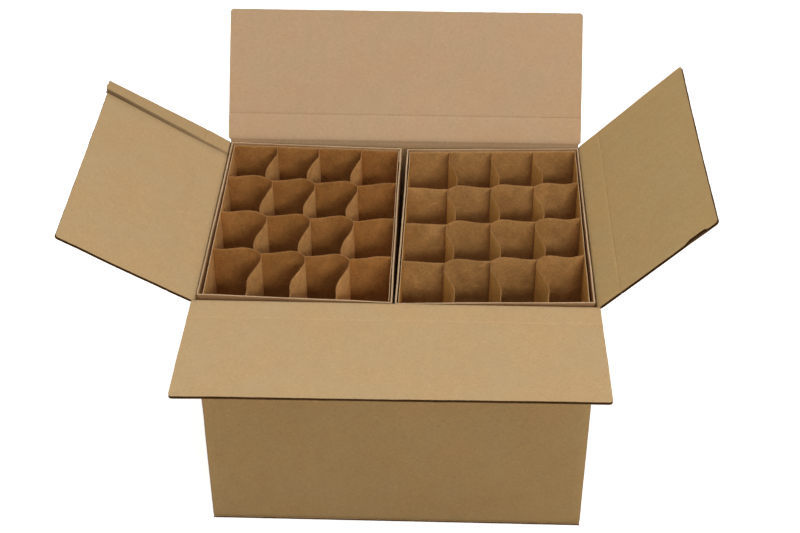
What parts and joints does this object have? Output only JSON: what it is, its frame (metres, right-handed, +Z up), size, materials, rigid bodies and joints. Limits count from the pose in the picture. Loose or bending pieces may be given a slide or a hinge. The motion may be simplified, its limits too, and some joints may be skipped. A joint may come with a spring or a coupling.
{
  "type": "divided shipping carton",
  "caption": "Open corrugated shipping carton with folding top flaps, holding open inner boxes divided into cells by interlocking curved board sheets.",
  "frame": {"origin": "centre of the underside of the carton, on the floor", "axes": "+Z up, +X along the long side, -Y towards the front"},
  "size_m": [0.6507, 0.5548, 0.4342],
  "materials": {
    "carton_board": "matte",
    "flap_board": "matte",
    "inner_box_board": "matte",
    "divider_sheet": "matte",
    "tape": "satin"
  },
  "bodies": {
    "carton": {"front_wall": "carton_board", "back_wall": "carton_board", "left_wall": "carton_board", "right_wall": "carton_board", "side_seam_tab": "carton_board", "bottom_front_flap": "carton_board", "bottom_back_flap": "carton_board", "bottom_left_flap": "carton_board", "bottom_right_flap": "carton_board", "bottom_tape": "tape"},
    "front_flap_lower": {"front_flap_strip": "flap_board"},
    "front_flap_upper": {"front_flap_panel": "flap_board"},
    "back_flap_lower": {"back_flap_strip": "flap_board"},
    "back_flap_upper": {"back_flap_panel": "flap_board"},
    "left_flap_lower": {"left_flap_strip": "flap_board", "left_flap_strip_lap": "flap_board"},
    "left_flap_upper": {"left_flap_panel": "flap_board", "left_flap_panel_lap": "flap_board"},
    "right_flap_lower": {"right_flap_strip": "flap_board"},
    "right_flap_upper": {"right_flap_panel": "flap_board"},
    "left_inner_box": {"left_box_front_wall": "inner_box_board", "left_box_back_wall": "inner_box_board", "left_box_outer_wall": "inner_box_board", "left_box_inner_wall": "inner_box_board", "left_box_seam_tab": "inner_box_board", "left_box_bottom_long_flaps": "inner_box_board", "left_box_bottom_short_flaps": "inner_box_board"},
    "left_divider_set": {"left_divider_cross_1": "divider_sheet", "left_divider_cross_2": "divider_sheet", "left_divider_cross_3": "divider_sheet", "left_divider_length_1": "divider_sheet", "left_divider_length_2": "divider_sheet", "left_divider_length_3": "divider_sheet", "left_divider_front_sheet": "divider_sheet", "left_divider_back_sheet": "divider_sheet", "left_divider_outer_sheet": "divider_sheet", "left_divider_inner_sheet": "divider_sheet"},
    "right_inner_box": {"right_box_front_wall": "inner_box_board", "right_box_back_wall": "inner_box_board", "right_box_outer_wall": "inner_box_board", "right_box_inner_wall": "inner_box_board", "right_box_seam_tab": "inner_box_board", "right_box_bottom_long_flaps": "inner_box_board", "right_box_bottom_short_flaps": "inner_box_board"},
    "right_divider_set": {"right_divider_cross_1": "divider_sheet", "right_divider_cross_2": "divider_sheet", "right_divider_cross_3": "divider_sheet", "right_divider_length_1": "divider_sheet", "right_divider_length_2": "divider_sheet", "right_divider_length_3": "divider_sheet", "right_divider_front_sheet": "divider_sheet", "right_divider_back_sheet": "divider_sheet", "right_divider_outer_sheet": "divider_sheet", "right_divider_inner_sheet": "divider_sheet"}
  },
  "joints": [
    {"name": "front_flap_hinge_crease", "type": "hinge", "parent": "carton", "child": "front_flap_lower", "pos_m": [0, -0.1535, 0.312], "axis": [1, 0, 0], "range_deg": [-176.1, 33.9]},
    {"name": "front_flap_second_crease", "type": "hinge", "parent": "front_flap_lower", "child": "front_flap_upper", "pos_m": [0, -0.18343, 0.31404], "axis": [-1, 0, 0], "range_deg": [0, 90]},
    {"name": "back_flap_hinge_crease", "type": "hinge", "parent": "carton", "child": "back_flap_lower", "pos_m": [0, 0.1535, 0.312], "axis": [-1, 0, 0], "range_deg": [-127.1, 82.9]},
    {"name": "back_flap_second_crease", "type": "hinge", "parent": "back_flap_lower", "child": "back_flap_upper", "pos_m": [0, 0.1716, 0.33593], "axis": [1, 0, 0], "range_deg": [0, 90]},
    {"name": "left_flap_hinge_crease", "type": "hinge", "parent": "carton", "child": "left_flap_lower", "pos_m": [-0.204, 0, 0.3087], "axis": [0, -1, 0], "range_deg": [-149.4, 60.6]},
    {"name": "left_flap_second_crease", "type": "hinge", "parent": "left_flap_lower", "child": "left_flap_upper", "pos_m": [-0.22982, 0, 0.32397], "axis": [0, 1, 0], "range_deg": [0, 90]},
    {"name": "right_flap_hinge_crease", "type": "hinge", "parent": "carton", "child": "right_flap_lower", "pos_m": [0.204, 0, 0.3087], "axis": [0, 1, 0], "range_deg": [-134.4, 75.6]},
    {"name": "right_flap_second_crease", "type": "hinge", "parent": "right_flap_lower", "child": "right_flap_upper", "pos_m": [0.22499, 0, 0.33013], "axis": [0, -1, 0], "range_deg": [0, 90]},
    {"name": "left_inner_box_lift", "type": "slide", "parent": "carton", "child": "left_inner_box", "axis": [0, 0, 1], "range_m": [0, 0.32]},
    {"name": "left_divider_lift", "type": "slide", "parent": "left_inner_box", "child": "left_divider_set", "axis": [0, 0, 1], "range_m": [0, 0.31]},
    {"name": "right_inner_box_lift", "type": "slide", "parent": "carton", "child": "right_inner_box", "axis": [0, 0, 1], "range_m": [0, 0.32]},
    {"name": "right_divider_lift", "type": "slide", "parent": "right_inner_box", "child": "right_divider_set", "axis": [0, 0, 1], "range_m": [0, 0.31]}
  ]
}
